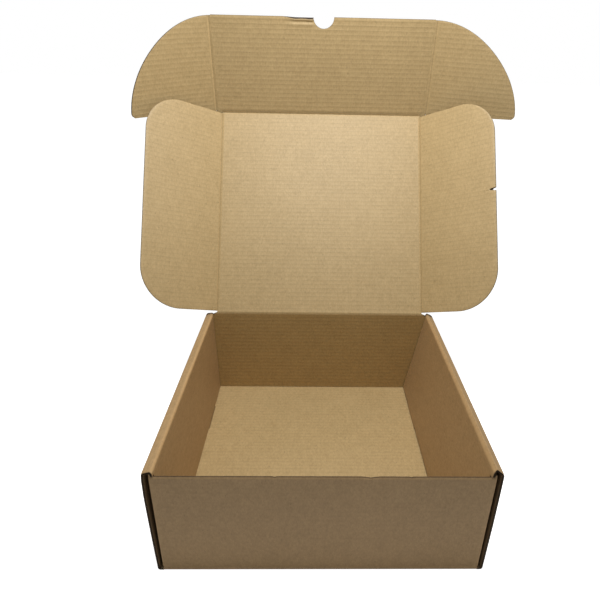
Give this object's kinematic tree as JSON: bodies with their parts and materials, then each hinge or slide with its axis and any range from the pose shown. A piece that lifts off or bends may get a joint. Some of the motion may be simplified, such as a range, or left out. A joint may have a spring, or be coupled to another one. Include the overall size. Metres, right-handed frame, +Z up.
{
  "type": "corrugated mailer box",
  "caption": "Open one-piece corrugated mailer box with rolled side walls, a hinged lid with two round-cornered wings, and a tuck flap with a thumb notch and two ears.",
  "frame": {"origin": "middle of the tray's underside, on the surface it rests on", "axes": "+X to the right, +Y towards the lid's hinge, +Z up; the front wall faces -Y"},
  "size_m": [0.588, 0.5034, 0.5546],
  "materials": {
    "kraft_board": "matt brown kraft liner on fluted board"
  },
  "bodies": {
    "tray": {"tray": "kraft_board"},
    "lid": {"lid_panel": "kraft_board"},
    "left_wing": {"left_wing": "kraft_board"},
    "right_wing": {"right_wing": "kraft_board"},
    "tuck": {"tuck_flap": "kraft_board"},
    "left_ear": {"left_ear": "kraft_board"},
    "right_ear": {"right_ear": "kraft_board"}
  },
  "joints": [
    {"name": "lid_hinge", "type": "hinge", "parent": "tray", "child": "lid", "pos_m": [0, 0.16725, 0.1411], "axis": [1, 0, 0], "range_deg": [-76, 38]},
    {"name": "left_wing_crease", "type": "hinge", "parent": "lid", "child": "left_wing", "pos_m": [-0.1594, 0.16725, 0.1411], "axis": [0, 0.5135, 0.8581], "range_deg": [-1.5, 54]},
    {"name": "right_wing_crease", "type": "hinge", "parent": "lid", "child": "right_wing", "pos_m": [0.1594, 0.16725, 0.1411], "axis": [0, -0.5135, -0.8581], "range_deg": [-15.5, 51]},
    {"name": "tuck_crease", "type": "hinge", "parent": "lid", "child": "tuck", "pos_m": [0, 0.33282, 0.41774], "axis": [1, 0, 0], "range_deg": [-39.5, 5]},
    {"name": "left_ear_crease", "type": "hinge", "parent": "tuck", "child": "left_ear", "pos_m": [-0.1688, 0.33282, 0.41774], "axis": [0, -0.1495, 0.9888], "range_deg": [-27, 1.5]},
    {"name": "right_ear_crease", "type": "hinge", "parent": "tuck", "child": "right_ear", "pos_m": [0.1688, 0.33282, 0.41774], "axis": [0, 0.1495, -0.9888], "range_deg": [-19, 15.5]}
  ]
}
